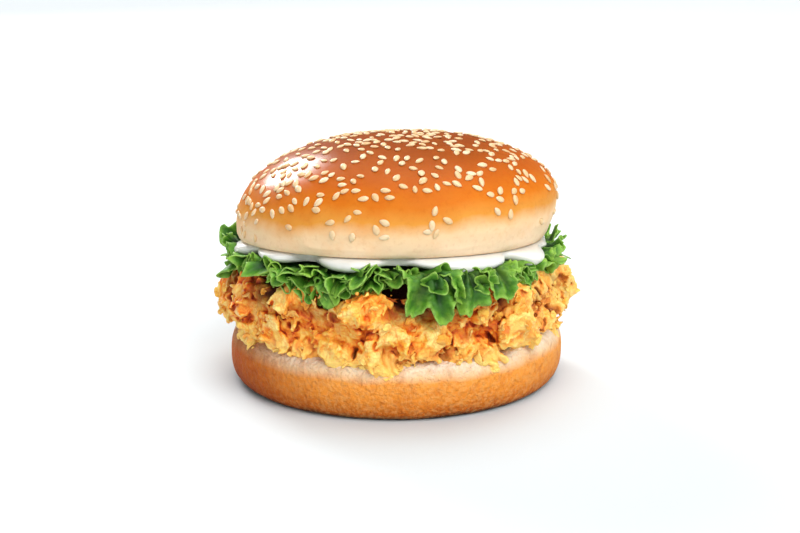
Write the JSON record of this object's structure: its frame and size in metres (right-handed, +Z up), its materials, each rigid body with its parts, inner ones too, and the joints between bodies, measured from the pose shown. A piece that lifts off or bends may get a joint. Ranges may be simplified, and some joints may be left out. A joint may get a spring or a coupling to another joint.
{
  "type": "chicken burger",
  "caption": "Burger of a toasted bun with a sesame-topped crown, crisp fried chicken fillet, ruffled lettuce and white sauce, standing on its flat underside.",
  "frame": {"origin": "centre of the bun heel's flat underside, on the surface the burger stands on", "axes": "+Z up through the stack, -Y towards the front, where the lettuce hangs lowest, +X to the right seen from the front"},
  "size_m": [0.1192, 0.1167, 0.0811],
  "materials": {
    "bun": "baked crust, golden brown, pale at the cut edge, satin sheen on the crown",
    "crust": "crisp fried batter, golden, matt",
    "lettuce": "fresh leaf, soft gloss",
    "mayonnaise": "thick white sauce, wet gloss",
    "sesame": "toasted seed, satin; only the visual model has it"
  },
  "bodies": {
    "root": {"bun_heel": "bun", "chicken_fillet": "crust", "lettuce_front_left": "lettuce", "lettuce_front_right": "lettuce", "lettuce_right": "lettuce", "lettuce_back": "lettuce", "lettuce_left": "lettuce", "mayonnaise": "mayonnaise", "bun_crown": "bun"}
  },
  "joints": []
}
